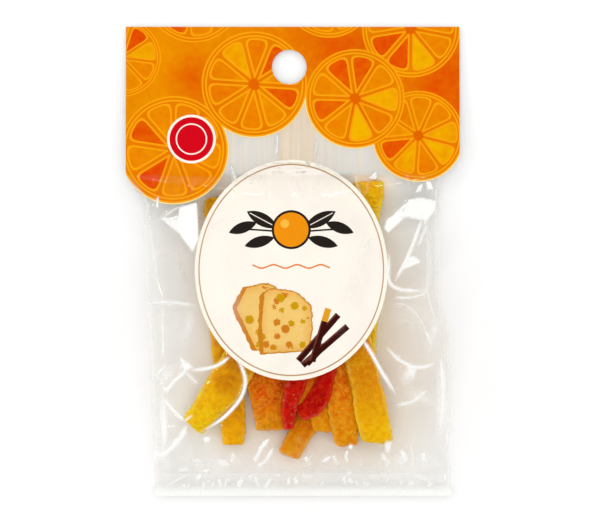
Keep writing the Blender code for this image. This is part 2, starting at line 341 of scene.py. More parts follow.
def pinched(x, y, creases):
    """The rise of the film at its creases, and how white they are: whitening and painted highlight."""
    rise, white = np.zeros(x.shape), np.zeros(x.shape)
    for points, height, left_reach, right_reach, whiteness in creases:
        low, high = np.min(points, axis=0) - 12, np.max(points, axis=0) + 12
        near = (x > low[0]) & (x < high[0]) & (y > low[1]) & (y < high[1])
        gap, along = from_line(x[near], y[near], points)
        ends = eased(along, 0, 0.22) * eased(1 - along, 0, 0.22)
        reach = np.where(gap > 0, left_reach, right_reach)
        rise[near] += height * ends * np.exp(0.25 - np.sqrt((gap / reach) ** 2 + 0.0625))
        half = 0.26 + 0.28 * abs(height) * ends
        line = whiteness * ends**0.5 * np.exp(-((gap / half) ** 4))
        white[near] = np.maximum(white[near], line)
    return rise, white


def tilted(x, y, facets):
    """The same for the flat facets, whose white is a painted reflection."""
    rise, white = np.zeros(x.shape), np.zeros(x.shape)
    for corners, slope, whiteness in facets:
        inside = np.full(x.shape, 1e3)
        for (ax, ay), (bx, by) in zip(corners, corners[1:] + corners[:1]):
            length = math.hypot(bx - ax, by - ay)
            inside = np.minimum(inside, ((bx - ax) * (y - ay) - (by - ay) * (x - ax)) / length)
        middle = np.mean(corners, axis=0)
        lean = slope[0] * (x - middle[0]) + slope[1] * (y - middle[1])
        rise += lean * eased(inside, -0.8, 0.9)
        white = np.maximum(white, whiteness * eased(inside, -0.15, 0.3))
    return rise, white


def scuffs_folds_and_glare(x, y):
    """How white scuffs, the side folds and the sealed hem make the film. The scuffs are partly painted glare
    and glints, and the band along the side folds is a painted highlight.
    """
    white = np.zeros(x.shape)
    for middle_x, middle_y, half, length, degrees, whiteness in SCUFFS_AND_GLARE:
        turn = math.radians(degrees)
        across = (x - middle_x) * math.cos(turn) + (y - middle_y) * math.sin(turn)
        along = (y - middle_y) * math.cos(turn) - (x - middle_x) * math.sin(turn)
        spread = (across / half) ** 2 + (along / length) ** 2
        sharpness = 2 if half * length < 3 else 1
        white = between(white, 1, whiteness * np.exp(-spread**sharpness))
    from_side = np.minimum(x - left_side(y), right_side(y) - x)
    # painted highlight along the side folds; the sealed hem is whitened
    folded = (1 - eased(from_side, *SIDE_BAND)) * eased(y, POUCH_TOP, POUCH_TOP - 8)
    sealed = 0.3 * eased(y, POUCH_BOTTOM - 1.0, POUCH_BOTTOM - 2.0)
    sealed += 0.6 * eased(y, BOTTOM_EDGE + 4.2, BOTTOM_EDGE + 1.2)
    return np.maximum(np.maximum(white, 0.35 * folded), sealed)


def corner_dents(x, y):
    """The dents where the pouch's four corners fold in."""
    depth = np.zeros(x.shape)
    for corner_y in (POUCH_TOP - DENT_INSET, POUCH_BOTTOM + DENT_INSET):
        for corner_x in (left_side(corner_y) + DENT_INSET, right_side(corner_y) - DENT_INSET):
            depth += np.exp(-((x - corner_x) ** 2 + (y - corner_y) ** 2) / DENT_REACH**2)
    return DENT_DEPTH * depth


def front_film(x, y):
    """Height of the front film, and how white it is: whitening and painted highlights."""
    u, v = places(x, y)
    seal = seal_level(y)
    swell = fullness(u, v, *FRONT_SWELL)
    creased, white = pinched(x, y, CREASES + SEAL_FOLDS + BUCKLES)
    leaning, facet = tilted(x, y, FACETS)
    loose = np.clip(6 * swell, 0.25, 1)
    level = seal + 0.25 + (CROWN - seal - corner_dents(x, y)) * swell
    level += (creased + leaning) * loose
    white = np.maximum(np.maximum(white, facet), scuffs_folds_and_glare(x, y))
    return np.maximum(level, seal + 0.1), white


def back_film(x, y):
    """Height of the back film: flat on the table under the strips, and up to the seals."""
    u, v = places(x, y)
    settled = np.minimum(1.04 * fullness(u, v, *BACK_SWELL), 1)
    return BACK_LEVEL + (seal_level(y) - BACK_LEVEL) * (1 - settled)


FILM_COLUMNS = 236
FINE_ROW, HEADER_ROW = 0.38, 1.2
FINE_TOP = 40.0
PRINT_BOTTOM = 15.0
INK_GAP, BACKING_GAP = 0.1, 0.2


def rows_between(low, high, spacing):
    """Levels from low to high, about a spacing apart, with an even number of steps."""
    count = 2 * round((high - low) / spacing / 2)
    return list(np.linspace(low, high, count + 1))


FILM_ROWS = (rows_between(BOTTOM_EDGE, FINE_TOP, FINE_ROW)[:-1]
             + rows_between(FINE_TOP, TOP_EDGE, HEADER_ROW))


def punch_hole(sheet):
    """Opens the hang hole: the faces over it go, and their ragged rim is joined to a circle."""
    centre = Vector((*HOLE_PLACE, 0))
    gone = [f for f in sheet.faces
            if min((v.co - centre).length for v in f.verts) < HOLE_RADIUS + 0.25]
    rim = {e for f in gone for e in f.edges if any(g not in gone for g in e.link_faces)}
    bmesh.ops.delete(sheet, geom=gone, context="FACES")
    circle = bmesh.ops.create_circle(sheet, segments=HOLE_SIDES, radius=HOLE_RADIUS,
                                     matrix=Matrix.Translation(centre))
    edge = {e for v in circle["verts"] for e in v.link_edges}
    bmesh.ops.bridge_loops(sheet, edges=list(edge | rim))


def make_piece(name, form):
    """Makes a bmesh in millimetres into an object of its own."""
    bmesh.ops.transform(form, matrix=Matrix.Scale(MM, 4), verts=form.verts)
    mesh = bpy.data.meshes.new(name)
    form.to_mesh(mesh)
    form.free()
    mesh.shade_smooth()
    piece = bpy.data.objects.new(name, mesh)
    bpy.context.collection.objects.link(piece)
    return piece


def to_levels(sheet, name, shape):
    """Lifts a flat sheet to its shape, maps its plan for the print, and makes it a piece."""
    plan = np.array([v.co for v in sheet.verts])
    level, white = shape(plan[:, 0], plan[:, 1])
    print_map = sheet.loops.layers.uv.new("plan")
    whitened_and_highlit = sheet.verts.layers.float.new("whitened_and_highlit")
    for vertex, height, haze in zip(sheet.verts, level, white):
        vertex[whitened_and_highlit] = haze
        for corner in vertex.link_loops:
            corner[print_map].uv = vertex.co.xy / (TOP_EDGE * 2) + Vector((0.5, 0.5))
        vertex.co.z = height
    return make_piece(name, sheet)


def film_sheet(name, columns, row_places, shape, face_down=False):
    """A sheet of film or ink over a stretch of the bag, as wide as the bag is there.

    Its columns lie closer together towards the sides, where the film turns down.
    """
    sheet = bmesh.new()
    rows = len(row_places) - 1
    bmesh.ops.create_grid(sheet, x_segments=columns, y_segments=rows, size=1.0)
    for vertex in sheet.verts:
        across = between(vertex.co.x, math.sin(vertex.co.x * math.pi / 2), 0.35)
        y = row_places[round((vertex.co.y + 1) / 2 * rows)]
        vertex.co.x = between(float(left_side(y)), float(right_side(y)), (across + 1) / 2)
        vertex.co.y = y
    punch_hole(sheet)
    if face_down:
        bmesh.ops.reverse_faces(sheet, faces=sheet.faces)
    return to_levels(sheet, name, shape)


def sum_node(operation, other_first=False):
    """An operator of Wire that adds one maths node, for two values."""
    def operator(this, other):
        values = (other, this) if other_first else (this, other)
        return this.node("ShaderNodeMath", dict(enumerate(values)), operation=operation)
    return operator


class Wire:
    """A value, vector or colour in a material, so that shader maths reads as plain sums."""

    __add__ = __radd__ = sum_node("ADD")
    __sub__ = sum_node("SUBTRACT")
    __rsub__ = sum_node("SUBTRACT", other_first=True)
    __mul__ = __rmul__ = sum_node("MULTIPLY")
    __truediv__ = sum_node("DIVIDE")
    __lt__ = sum_node("LESS_THAN")
    __gt__ = sum_node("GREATER_THAN")
    least = sum_node("MINIMUM")
    most = sum_node("MAXIMUM")

    def __init__(self, tree, socket=None):
        self.tree = tree
        self.socket = socket

    def node(self, kind, sockets=None, output=0, **settings):
        """Adds a node of any kind. Its settings are made first, then its sockets are filled."""
        made = self.tree.nodes.new(kind)
        for name, value in settings.items():
            setattr(made, name, value)
        for name, value in (sockets or {}).items():
            if isinstance(value, Wire):
                self.tree.links.new(value.socket, made.inputs[name])
            else:
                made.inputs[name].default_value = value
        return Wire(self.tree, made.outputs[output])

    def math(self, operation, *others):
        return self.node("ShaderNodeMath", dict(enumerate((self, *others))), operation=operation)

    def __abs__(self):
        return self.math("ABSOLUTE")

    def vector(self, operation, *others):
        output = 1 if operation in ("LENGTH", "DISTANCE") else 0
        return self.node("ShaderNodeVectorMath", dict(enumerate((self, *others))), output,
                         operation=operation)

    def part(self, axis):
        """The x, y or z of a vector."""
        return self.node("ShaderNodeSeparateXYZ", {0: self}, axis)

    def over(self, start, end):
        """This value's way from start to end, as a share that stops at 0 and 1."""
        return self.node("ShaderNodeMapRange", {0: self, 1: start, 2: end})

    def mixed(self, a, b, kind="RGBA"):
        """Colour or vector a where this mask is 0, and b where it is 1."""
        first, output = {"RGBA": (6, 2), "VECTOR": (4, 1)}[kind]
        return self.node("ShaderNodeMix", {0: self, first: a, first + 1: b}, output, data_type=kind)

    def blend(self, a, b):
        """Surface a where this mask is 0, and b where it is 1."""
        return self.node("ShaderNodeMixShader", {0: self, 1: a, 2: b})

    def ramp(self, *stops):
        """Colours that follow one another along this value."""
        colours = self.node("ShaderNodeValToRGB", {0: self})
        elements = colours.socket.node.color_ramp.elements
        while len(elements) < len(stops):
            elements.new(1.0)
        for element, (position, colour) in zip(elements, stops):
            element.position = position
            element.color = colour
        return colours

    def noise(self, scale, detail=2.0):
        """Blender's noise at this vector, 0 to 1, about 1 / scale long."""
        return self.node("ShaderNodeTexNoise", {"Vector": self, "Scale": scale, "Detail": detail})


def paint(red, green, blue):
    """A colour from its display values, 0 to 255."""
    linear = [c / 12.92 if c <= 0.04045 else ((c + 0.055) / 1.055) ** 2.4
              for c in (red / 255, green / 255, blue / 255)]
    return (*linear, 1.0)


def new_finish(name):
    """A material with its nodes cleared, and a wire to build on."""
    material = bpy.data.materials.new(name)
    material.use_nodes = True
    material.node_tree.nodes.clear()
    return material, Wire(material.node_tree)


def show(wire, kind="ShaderNodeOutputMaterial"):
    """Sends a finished shader to its material's output, or to the world's."""
    output = wire.tree.nodes.new(kind)
    wire.tree.links.new(wire.socket, output.inputs["Surface"])


def plan_place(wire):
    """The place on the bag's flat plan, in millimetres from its middle."""
    flat = wire.node("ShaderNodeUVMap", uv_map="plan")
    centred = flat.vector("SUBTRACT", (0.5, 0.5, 0))
    return centred.vector("MULTIPLY", (TOP_EDGE * 2, TOP_EDGE * 2, 0))


# On the back film: its fin, and the oval of painted warm light under the strips, standing in for the light
# that shines through and off them
FIN_MIDDLE, FIN_HALF = 1.1, 5.6
WARM_LIGHT_MIDDLE, WARM_LIGHT_HALF = (8.0, -30.0), (43.0, 56.0)
WARM_LIGHT_TINT = (0.973, 0.958, 0.931, 1)


def film_finish(name, tint, haze, is_back=False):
    """Clear film: both its faces mirror a little, and where it was pinched it is whitened; much of that white
    is painted highlight and painted reflection.

    The back film has its fin and its double layer under the header. Near the seal it is whitened as painted
    light over the shade there, and under the strips it carries an oval of painted warm light.
    """
    material, wire = new_finish(name)
    plan = plan_place(wire)
    ripple = plan.noise(1.1, 3.0)
    bump = wire.node("ShaderNodeBump", {"Strength": 0.12, "Distance": 0.0001, "Height": ripple})
    drift = plan.vector("MULTIPLY", (1.0, 0.5, 0)).noise(0.11, 4.0).over(0.36, 0.64)
    gloss = wire.node("ShaderNodeBsdfAnisotropic", {"Color": (1, 1, 1, 1), "Roughness": 0.07, "Normal": bump})
    thick = wire.node("ShaderNodeBsdfTransparent", {"Color": [0.978 * c for c in tint]})
    thin = wire.node("ShaderNodeBsdfTransparent", {"Color": tint})
    clear = drift.blend(thick, thin)
    glancing = wire.node("ShaderNodeLayerWeight", {"Blend": 0.5, "Normal": bump}, 1)
    mirrored = glancing.math("POWER", 5.0) * 0.9 + 0.018
    cloud = plan.noise(2.6, 2.0).over(0.25, 0.6)
    # whitening from creases, facets, scuffs and seals, much of it painted highlight and reflection
    highlit_whitening = wire.node("ShaderNodeAttribute", output=2, attribute_name="whitened_and_highlit")
    amount = highlit_whitening * (0.88 + 0.26 * cloud) + haze + drift * haze
    colour = cloud.mixed(paint(255, 255, 254), paint(255, 255, 251))
    if is_back:
        streaks = plan.vector("MULTIPLY", (1.0, 0.04, 0)).noise(0.6, 2.0).over(0.3, 0.7)
        fin = (FIN_HALF - abs(plan.part(0) - FIN_MIDDLE)).over(-0.2, 0.2)
        doubled = plan.part(1).over(POUCH_TOP - 1, POUCH_TOP + 1)
        # Painted light: below the seal the back film is whitened, more so inside, to lift the shade that the
        # header print and the label cast there.
        inner = abs(plan.part(0)).over(34, 28) * (1 - doubled)
        painted_light_near_seal = plan.part(1).over(POUCH_TOP - 18, POUCH_TOP - 4) * (0.7 + 0.25 * inner)
        colour = inner.mixed(colour, paint(255, 245, 232))
        # the oval of painted warm light under the strips: a warmer tint and a warm white
        reach = plan.vector("SUBTRACT", (*WARM_LIGHT_MIDDLE, 0))
        reach = reach.vector("DIVIDE", (*WARM_LIGHT_HALF, 1))
        painted_warm_light = (1 - reach.vector("LENGTH")).over(0.0, 0.5) * (0.7 + 0.6 * cloud)
        painted_warm_light = painted_warm_light * plan.part(1).over(POUCH_BOTTOM - 1, POUCH_BOTTOM + 1)
        # The double layer under the header is made milky and warm, partly for the two sealed films and partly
        # as painted light over the shade there and a painted warm reflection of the strips and print; the
        # oval adds painted warm light.
        warm = (fin * 0.1).most(painted_warm_light * 0.15) + doubled * (0.62 + 0.2 * streaks)
        warm_lit_film = wire.node("ShaderNodeBsdfTransparent", {"Color": WARM_LIGHT_TINT})
        clear = painted_warm_light.blend(clear, warm_lit_film)
        warm_tone = (doubled * (1 - fin)).mixed(paint(252, 232, 206), paint(255, 243, 226))
        colour = (warm - painted_light_near_seal).over(-0.1, 0.1).mixed(colour, warm_tone)
        amount = amount.most(warm).most(painted_light_near_seal)
    film = mirrored.blend(clear, gloss)
    white = wire.node("ShaderNodeBsdfPrincipled", {
        "Base Color": colour, "Roughness": 0.35, "Normal": bump})
    show(amount.least(1.0).blend(film, white))
    return material


front = film_sheet("front_film", FILM_COLUMNS, FILM_ROWS, front_film)
front.data.materials.append(film_finish("clear_film_front", (0.998, 0.997, 0.992, 1), 0.0))
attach(front, "root")
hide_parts("bag")


# ---- Back film ----
# The same film behind. It lies flat under the strips and rises to the seals, and its own two
# edges meet in a seal that runs down the middle of the back.


def back_shape(x, y):
    creased, white = pinched(x, y, [(p, 0.5 * h, a, b, 0.4 * w) for p, h, a, b, w in BACK_CREASES])
    loose = np.clip(5 * fullness(*places(x, y), *FRONT_SWELL), 0, 1)
    return np.maximum(back_film(x, y) + creased * loose, BACK_LEVEL), white


BACK_CREASES = []
for count in range(BACK_CREASE_COUNT):
    x, y = random.uniform(-38, 38), random.uniform(POUCH_BOTTOM, POUCH_TOP + 8)
    turn = random.uniform(0, math.pi)
    half = random.uniform(3, 12)
    BACK_CREASES.append((
        bowed(x, y, turn, half), random.uniform(0.2, 0.6),
        random.uniform(0.8, 2), random.uniform(0.8, 2), random.uniform(0, 0.5),
    ))

back = film_sheet("back_film", FILM_COLUMNS // 2, FILM_ROWS[::2], back_shape, face_down=True)
back.data.materials.append(film_finish("clear_film_back", (0.989, 0.986, 0.977, 1), 0.01, True))
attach(back, "root")


# ---- Header print ----
# Orange inks on the inner face of the front film, like a wash of water colour: a mottled ground
# with cut oranges drawn over it, whose rims make the print's lower edge. A round red seal on top.

# Each cut orange: its middle, its radius, its turn, its number of segments, and which of those
# are pale and which are deep
CUT_ORANGES = [
    ((-51.2, 61), 11.7, 0.02, 9, (0,), (1,)),
    ((-29.6, 80), 14.4, 0.05, 9, (), (6,)),
    ((10.9, 80.8), 13.8, 0, 9, (), ()),
    ((35.5, 69.8), 14.7, 0.03, 9, (7,), (5, 6)),
    ((37.6, 37.6), 13.5, 0.04, 9, (0, 6, 8), (5,)),
    ((-35.5, 33.4), 16.1, 0.08, 9, (), (4, 6)),
    ((-11.5, 53.1), 15.8, 0.01, 10, (3,), (1, 9)),
    ((18.7, 48.8), 14.8, 0.06, 9, (0, 7), (2, 3, 5)),
]
# Where the ground's wash is deeper: the middle and the reach
DEEP_WASHES = [((-30.0, 55.0), 9.0), ((14.0, 66.0), 17.0), ((42.0, 52.0), 14.0)]
LOWER_FRUIT = [CUT_ORANGES[i][0] for i in (5, 6, 7, 4)]
OUTLINE = 0.32
SEAL_MIDDLE = (-30.3, 36.6)
SEAL_DISCS = ((7.3, paint(255, 247, 236)), (6.55, paint(214, 8, 26)),
              (4.7, paint(255, 244, 236)), (4.3, paint(214, 8, 26)))


def header_areas(plan):
    """Where the ground of the header print lies, and the distance outside its cut oranges."""
    across = plan.part(0)
    level = LOWER_FRUIT[0][1] + 0 * across
    slope = 0
    for (x0, y0), (x1, y1) in zip(LOWER_FRUIT, LOWER_FRUIT[1:]):
        turn = (y1 - y0) / (x1 - x0) - slope
        level = level + (across - x0).most(0) * turn
        slope += turn
    level = level - (across - LOWER_FRUIT[-1][0]).most(0) * slope
    ground = plan.part(1) > level
    gaps = [plan.vector("DISTANCE", (*middle, 0)) - radius for middle, radius, *_ in CUT_ORANGES]
    return ground, functools.reduce(Wire.least, gaps)


def header_finish():
    material, wire = new_finish("header_print")
    plan = plan_place(wire)
    ground, outside = header_areas(plan)
    spot = plan
    inside = turn_here = number_here = 0
    segments_here = CUT_ORANGES[0][3]
    for number, (middle, radius, turn, segments, *_) in enumerate(CUT_ORANGES):
        local = plan.vector("SUBTRACT", (*middle, 0))
        local = local.vector("DIVIDE", (radius, radius, 1))
        over = local.vector("LENGTH") < 1
        inside = over.most(inside)
        spot = over.mixed(spot, local, "VECTOR")
        turn_here = between(turn_here, turn, over)
        segments_here = between(segments_here, segments, over)
        number_here = between(number_here, number, over)
    away = spot.vector("LENGTH")
    way = spot.part(1).math("ARCTAN2", spot.part(0)) / (2 * math.pi) + turn_here + 1
    sector = way * segments_here
    within = abs(sector.math("FRACT") - 0.5)
    spoke = away * ((0.5 - within) * (2 * math.pi) / segments_here).math("SINE")
    segment = (spoke - 0.028).math("SMOOTH_MIN", 0.875 - away, 0.2)
    wash = plan.noise(0.07, 3.0).over(0.32, 0.68)
    fine_wash = plan.noise(0.45, 4.0)
    tone = wash * 0.3 + fine_wash * 0.5 - 0.08 + plan.part(0) * 0.003
    for middle, reach in DEEP_WASHES:
        tone = tone + plan.vector("DISTANCE", (*middle, 0)).over(reach, 0) * 0.5
    ground_colour = tone.ramp(
        (0.1, paint(236, 146, 0)), (0.5, paint(231, 117, 0)), (0.9, paint(226, 82, 0)))
    which = sector.math("FLOOR").math("MODULO", segments_here)
    pair = wire.node("ShaderNodeCombineXYZ", {0: which, 1: number_here})
    pick = wire.node("ShaderNodeTexWhiteNoise", {"Vector": pair}, noise_dimensions="2D") * 0.2
    for number, (_, _, _, _, pale, deep) in enumerate(CUT_ORANGES):
        for kind, shift in ((pale, -0.36), (deep, 0.36)):
            for place in kind:
                this_one = (abs(which - place) + abs(number_here - number)) < 0.5
                pick = pick + this_one * shift
    pick = pick + fine_wash * 0.5 + away * 0.1 + 0.02
    segment_colour = pick.ramp(
        (0.0, paint(244, 182, 0)), (0.3, paint(237, 143, 0)), (0.58, paint(233, 117, 0)),
        (0.8, paint(230, 90, 0)), (1.0, paint(226, 62, 0)))
    line_colour = paint(247, 165, 14)
    pith_colour = (wash * 0.6 + fine_wash * 0.4).mixed(paint(236, 140, 0), paint(229, 109, 0))
    fruit = (segment > 0.0).mixed(pith_colour, line_colour)
    fruit = (segment > 0.035).mixed(fruit, segment_colour)
    fruit = (away + fine_wash * 0.12 < 0.17).mixed(fruit, paint(228, 102, 0))
    for ring in (0.985, 0.915):
        fruit = (abs(away - ring) < 0.017).mixed(fruit, line_colour)
    ink = inside.mixed(ground_colour, fruit)
    halo = (outside > 0) * (1 - ground)
    ink = halo.mixed(ink, paint(255, 232, 160))
    from_seal = plan.vector("DISTANCE", (*SEAL_MIDDLE, 0))
    for radius, colour in SEAL_DISCS:
        ink = (from_seal < radius).mixed(ink, colour)
    open_film = wire.node("ShaderNodeBsdfTransparent")
    surface = wire.node("ShaderNodeBsdfPrincipled", {
        "Base Color": ink, "Roughness": 0.5, "Specular IOR Level": 0.0})
    show(ground.most(outside < OUTLINE).blend(open_film, surface))
    return material


def under_film(gap):
    """The shape of an ink layer at a small depth under the front film."""
    def shape(x, y):
        level, white = front_film(x, y)
        return level - gap, white
    return shape


PRINT_ROWS = [y for y in FILM_ROWS[::2] if y > PRINT_BOTTOM]
header_print = film_sheet("header_print", FILM_COLUMNS // 2, PRINT_ROWS, under_film(INK_GAP))
header_print.data.materials.append(header_finish())
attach(header_print, "root")


# ---- Label print ----
# An oval of cream ink on the front film over the strips, with a thin brown line inside its rim,
# a fruiting twig, a thin rule, and a picture of sliced loaf with dark sticks.

LABEL_MIDDLE = (-0.4, -2.4)
LABEL_HALF = (28.65, 32.85)
LABEL_MEAN_HALF = sum(LABEL_HALF) / 2
UPPER_LEAF = (8.6, 14.8), 28
LABEL_RINGS, LABEL_SIDES = 56, 168


def label_sheet(name, shape):
    """A sheet over the label's oval: one spoke, spun round and stretched."""
    sheet = bmesh.new()
    spoke = [sheet.verts.new((i / LABEL_RINGS, 0, 0)) for i in range(LABEL_RINGS + 1)]
    edges = [sheet.edges.new(pair) for pair in zip(spoke, spoke[1:])]
    bmesh.ops.spin(sheet, geom=spoke + edges, cent=(0, 0, 0), axis=(0, 0, 1),
                   angle=2 * math.pi, steps=LABEL_SIDES, use_merge=True)
    bmesh.ops.remove_doubles(sheet, verts=sheet.verts, dist=0.0001)
    bmesh.ops.recalc_face_normals(sheet, faces=sheet.faces)
    if sheet.faces[:][0].normal.z < 0:
        bmesh.ops.reverse_faces(sheet, faces=sheet.faces)
    bmesh.ops.transform(sheet, verts=sheet.verts, matrix=Matrix.LocRotScale(
        Vector((*LABEL_MIDDLE, 0)), None, Vector((*LABEL_HALF, 1))))
    return to_levels(sheet, name, shape)


def turned(plan, middle, degrees):
    """A vector on the plan as along and across a thing that lies turned about its middle."""
    return plan.node("ShaderNodeMapping", {
        0: plan, 1: (*middle, 0), 2: (0, 0, math.radians(degrees))}, vector_type="TEXTURE")


def leaf(plan, middle, degrees, half_length, half_width):
    """Distance outside a pointed leaf."""
    place = turned(plan, middle, degrees)
    bow = (half_length**2 + half_width**2) / (2 * half_width)
    side = abs(place.part(1)) + (bow - half_width)
    return (side * side + place.part(0) * place.part(0)).math("POWER", 0.5) - bow


def bar(plan, middle, degrees, half_length, half_width):
    """Distance outside a straight bar, and the place along and across it."""
    place = turned(plan, middle, degrees)
    outside = (abs(place.part(0)) - half_length).most(abs(place.part(1)) - half_width)
    return outside, place.part(0), place.part(1)


def side_gaps(plan, corners):
    """Distance outside each straight side of a convex shape, its corners anticlockwise."""
    gaps = []
    for (ax, ay), (bx, by) in zip(corners, corners[1:] + corners[:1]):
        out_x, out_y = Vector((by - ay, ax - bx)).normalized()
        gaps.append(plan.part(0) * out_x + plan.part(1) * out_y - (ax * out_x + ay * out_y))
    return gaps


# The corners of the two loaf slices, the back one first, from the label's middle
LOAF_SLICES = (
    [(-11.6, -24), (-6, -24), (-4, -5.4), (-7.4, -3.8), (-14.6, -5.4), (-17.6, -11.6)],
    [(-9.4, -25.2), (5.4, -24.2), (6.6, -16), (6, -10.4), (1.6, -6.4), (-6, -5.4),
     (-9.2, -7.2), (-10, -16)],
)


def label_finish():
    material, wire = new_finish("label_print")
    plan = plan_place(wire)
    middle = plan.vector("SUBTRACT", (*LABEL_MIDDLE, 0))
    oval = middle.vector("DIVIDE", (*LABEL_HALF, 1))
    inward = (1 - oval.vector("LENGTH")) * LABEL_MEAN_HALF
    wash = middle.noise(0.06, 2.0).over(0.35, 0.65)
    ink = wash.mixed(paint(255, 250, 238), paint(254, 245, 236))
    ink = (inward < 1.56).mixed(ink, paint(196, 152, 116))
    ink = (inward < 1.16).mixed(ink, paint(255, 250, 236))

    # the twig
    mirror = wire.node("ShaderNodeCombineXYZ", {
        0: abs(middle.part(0)), 1: middle.part(1), 2: 0.0})
    dark = paint(40, 34, 30)
    leaves = leaf(mirror, *UPPER_LEAF, 5.2, 1.9).least(leaf(mirror, (14.4, 12.4), -20, 4.4, 1.6))
    leaves = leaves.least(leaf(mirror, (9.4, 8.2), -16, 4.6, 1.6))
    twig, _, _ = bar(mirror, (8.2, 11.6), 4, 9.0, 0.26)
    ink = (leaves.least(twig) < 0).mixed(ink, dark)
    vein, _, _ = bar(mirror, *UPPER_LEAF, 4.2, 0.13)
    ink = (vein < 0).mixed(ink, paint(251, 240, 230))
    fruit = middle.vector("DISTANCE", (0, 11.8, 0))
    ink = (fruit < 5.8).mixed(ink, dark)
    ink = (fruit < 5.1).mixed(ink, paint(243, 150, 18))
    shine = middle.vector("DISTANCE", (-1.9, 13.6, 0))
    ink = (shine < 1.3).mixed(ink, paint(252, 190, 70))

    # the rule
    wave = middle.part(1) - 0.9 - 0.5 * (middle.part(0) * 0.9).math("SINE")
    rule = (abs(wave) < 0.24) * (abs(middle.part(0)) < 11.5)
    ink = rule.mixed(ink, paint(233, 130, 45))

    # the loaf: each slice's own side shows on its left, browner than its crumb
    crumb_noise = middle.noise(2.2, 3.0)
    bits = wire.node("ShaderNodeTexVoronoi", {
        "Vector": middle, "Scale": 0.3, "Randomness": 0.8}, feature="F1")
    bit_kind = Wire(wire.tree, bits.socket.node.outputs["Color"]).part(0)
    bit_colour = bit_kind.over(0.4, 0.6).mixed(paint(206, 156, 10), paint(212, 128, 30))
    for corners in LOAF_SLICES:
        gaps = side_gaps(middle, corners)
        edge = gaps[0]
        for gap in gaps[1:]:
            edge = edge.math("SMOOTH_MAX", gap, 1.2)
        edge = edge + (middle.noise(0.7, 2.0) - 0.5) * 1.1
        left = gaps[-2].most(gaps[-1])
        crumb = crumb_noise.over(0.3, 0.7).mixed(paint(248, 212, 132), paint(240, 194, 102))
        crumb = (edge.over(-3.0, -0.2) * 0.6).mixed(crumb, paint(232, 166, 70))
        crumb = ((bits + crumb_noise * 0.4 < 0.58) * (edge < -1.0)).mixed(crumb, bit_colour)
        crumb = (edge > -0.4).mixed(crumb, paint(206, 138, 50))
        side_tone = crumb_noise.mixed(paint(226, 150, 34), paint(188, 108, 24))
        crumb = (left + (crumb_noise - 0.5) * 0.5 > -1.3).mixed(crumb, side_tone)
        ink = (edge < 0).mixed(ink, crumb)

    # the sticks
    for (x, y), degrees, half_length, tipped in (
        ((8.0, -20.2), 49, 9.0, False), ((10.0, -22.6), 41, 8.8, False),
        ((7.2, -25.2), 47, 3.8, False), ((8.6, -19.4), 73, 8.2, True),
    ):
        outside, along, across = bar(middle, (x, y), degrees, half_length, 0.95)
        stick = (across + crumb_noise > 1.0).mixed(paint(60, 18, 14), paint(112, 62, 48))
        if tipped:
            stick = (along > half_length - 4).mixed(stick, paint(230, 160, 34))
        ink = (outside < 0).mixed(ink, stick)

    show(wire.node("ShaderNodeBsdfPrincipled", {
        "Base Color": ink, "Roughness": 0.5, "Specular IOR Level": 0.0}))
    return material


label_print = label_sheet("label_print", under_film(INK_GAP))
label_print.data.materials.append(label_finish())
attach(label_print, "root")


# ---- White backing ----
# White ink over the back of both prints, so that the colours don't show what is behind them.

def backing_finish(name, masked):
    material, wire = new_finish(name)
    plan = plan_place(wire)
    white = plan.noise(0.9, 3.0).mixed(paint(250, 248, 242), paint(243, 240, 233))
    surface = wire.node("ShaderNodeBsdfPrincipled", {
        "Base Color": white, "Roughness": 0.6, "Specular IOR Level": 0.0})
    if masked:
        ground, outside = header_areas(plan)
        open_film = wire.node("ShaderNodeBsdfTransparent")
        surface = ground.most(outside < OUTLINE).blend(open_film, surface)
    show(surface)
    return material


header_backing = film_sheet("header_backing", FILM_COLUMNS // 2, PRINT_ROWS,
                            under_film(BACKING_GAP))
header_backing.data.materials.append(backing_finish("header_backing", True))
label_backing = label_sheet("label_backing", under_film(BACKING_GAP))
label_backing.data.materials.append(backing_finish("label_backing", False))
for backing, slot in ((header_backing, "header_print"), (label_backing, "label_print")):
    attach(backing, "root")


# ---- Peel strips ----
# Strips cut from orange rind and boiled in syrup until they are clear: springy bars with rounded
# edges, some from pale rind and some from deep red, laid lengthwise and crossing.

STRIP_CELL = 0.42
STRIP_FLOOR = 0.4
TIP_ROUNDING, CUT_REACH = 2.4, 12


def strip_frame(line, share):
    """A place on a strip's middle line, its width there, and the line's direction."""
    position = share * (len(line) - 1)
    index = np.clip(position.astype(int), 0, len(line) - 2)
    rest = (position - index)[:, None]
    place = line[index] * (1 - rest) + line[index + 1] * rest
    run = np.gradient(line[:, :3], axis=0)
    heading = run[index] * (1 - rest) + run[index + 1] * rest
    return place[:, :3], place[:, 3], heading / np.linalg.norm(heading, axis=1)[:, None]


